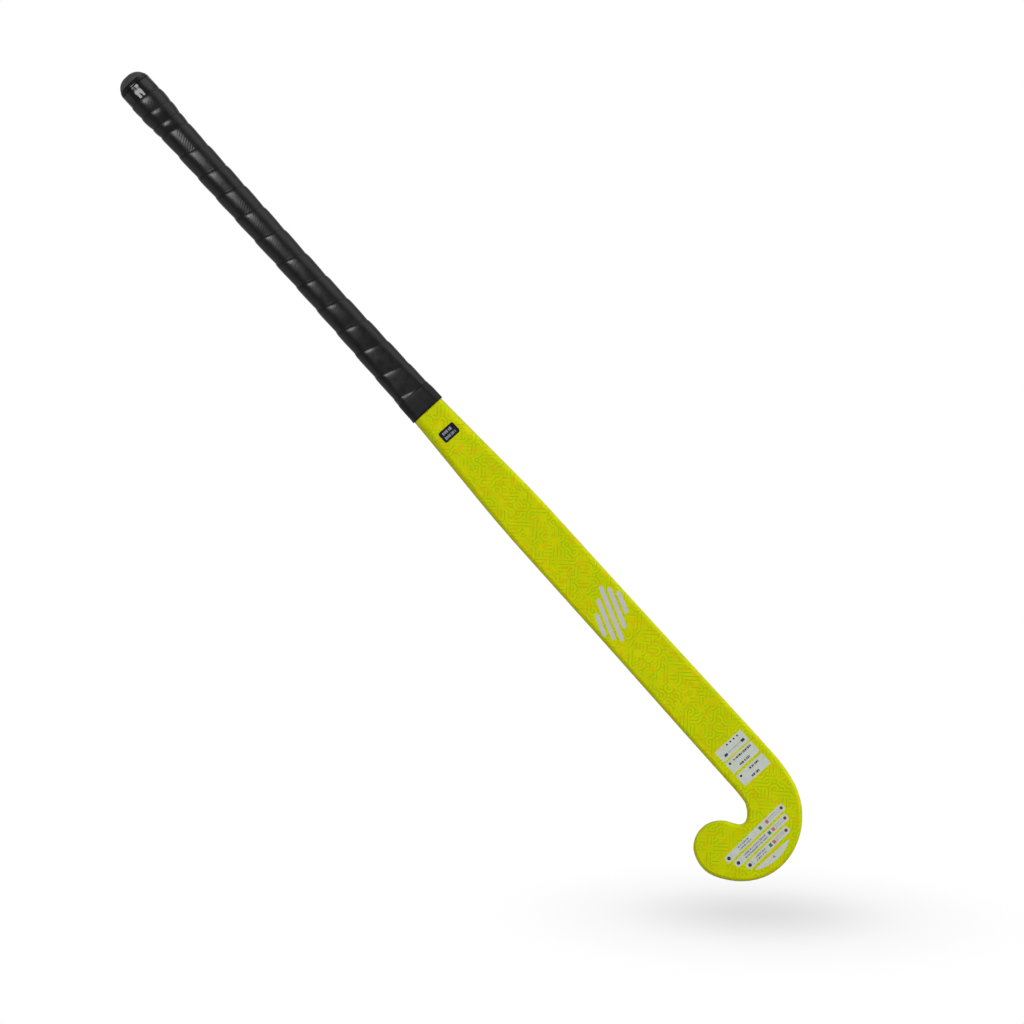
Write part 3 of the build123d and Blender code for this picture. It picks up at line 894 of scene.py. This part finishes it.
def painted_shadow_material():
    """A clear layer with a painted shadow: it darkens what is behind it, darkest in the middle and clear at
    the rim.
    """
    made = bpy.data.materials.new("painted_shadow_floor")
    made.use_nodes = True
    tree = made.node_tree
    tree.nodes.clear()
    place = add(tree, "TexCoord").outputs["Object"]
    reach = add(tree, "VectorMath", {0: place}, operation="LENGTH").outputs["Value"]
    # Painted shadow: the layer lets less through towards its middle, in a darker core and a wider soft fade
    inner = ramp(tree, reach, 0.0, FLOOR_RADIUS * PAINTED_SHADOW_CORE)
    outer = ramp(tree, reach, 0.0, FLOOR_RADIUS)
    share = maths(tree, "MULTIPLY", maths(tree, "ADD", inner, outer), 0.5)
    painted_shade = either(tree, share, PAINTED_SHADOW_DARKEST, 1.0)
    tint = add(tree, "CombineColor", {0: painted_shade, 1: painted_shade, 2: painted_shade}).outputs[0]
    clear = add(tree, "BsdfTransparent", {"Color": tint})
    output = add(tree, "OutputMaterial")
    tree.links.new(clear.outputs[0], output.inputs[0])
    return made


def make_painted_shadow_floor():
    """A soft-edged round of floor under the head, level in the camera's view, that shows a painted shadow
    and no real one.
    """
    turns = [2 * pi * k / FLOOR_SIDES for k in range(FLOOR_SIDES)]
    points = [(0, 0, 0)] + [(FLOOR_RADIUS * cos(t), FLOOR_RADIUS * sin(t), 0) for t in turns]
    faces = [(0, 1 + k, 1 + (k + 1) % FLOOR_SIDES) for k in range(FLOOR_SIDES)]
    mesh = bpy.data.meshes.new("floor")
    mesh.from_pydata(points, [], faces)
    mesh.materials.append(painted_shadow_material())
    made = bpy.data.objects.new("floor", mesh)
    turned = Matrix((RIGHT, -TOWARDS, UP)).transposed().to_4x4()
    stretched = Matrix.Diagonal((1, FLOOR_STRETCH, 1, 1))
    made.matrix_world = Matrix.Translation(FLOOR_CENTRE) @ turned @ stretched
    made.visible_shadow = False
    made.visible_diffuse = False
    made.visible_glossy = False
    bpy.context.scene.collection.objects.link(made)


# ---------------------------------------------------------------- all of it


def dress(material, *names):
    """Gives CAD nodes a material."""
    for name in names:
        mesh = NODES[name].data
        mesh.materials.clear()
        mesh.materials.append(material)


PAPER_LABELS = ("spec_panel", "head_strip", "head_crescent")
INK_NAMES = ("dark_ink", "blue_ink", "pale_ink", "green_ink", "red_ink", "maroon_ink")

make_camera()
area_light("softbox", SOFTBOX, in_reflections=True)
area_light("side_light", SIDE_LIGHT, in_reflections=False)
make_world()
# The floor round under the head, with its painted shadow
make_painted_shadow_floor()

dress(lacquer(), "shaft_shell")
dress(butt_rubber_material(), "butt_cap")
dress(gloss_band_material(), "butt_collar")
dress(film_material("badge_black", specular=0.15), "handle_badge")
dress(film_material("emblem_grey"), "face_emblem")
dress(film_material("label_white"), *(name for name in NODES if name.startswith(PAPER_LABELS)))
dress(laminate_material(), "heel_side_tube", "toe_side_tube")
dress(foam_material(), "head_core", "handle_plug")
dress(adhesive_material(), "grip_base_tape")
wound_grip(cushion_tape_material())
closing_tape(vinyl_tape_material())
INKS = {name: film_material(name) for name in INK_NAMES}
print_panels(INKS)
print_strips(INKS)
print_crescent_and_badge(INKS)
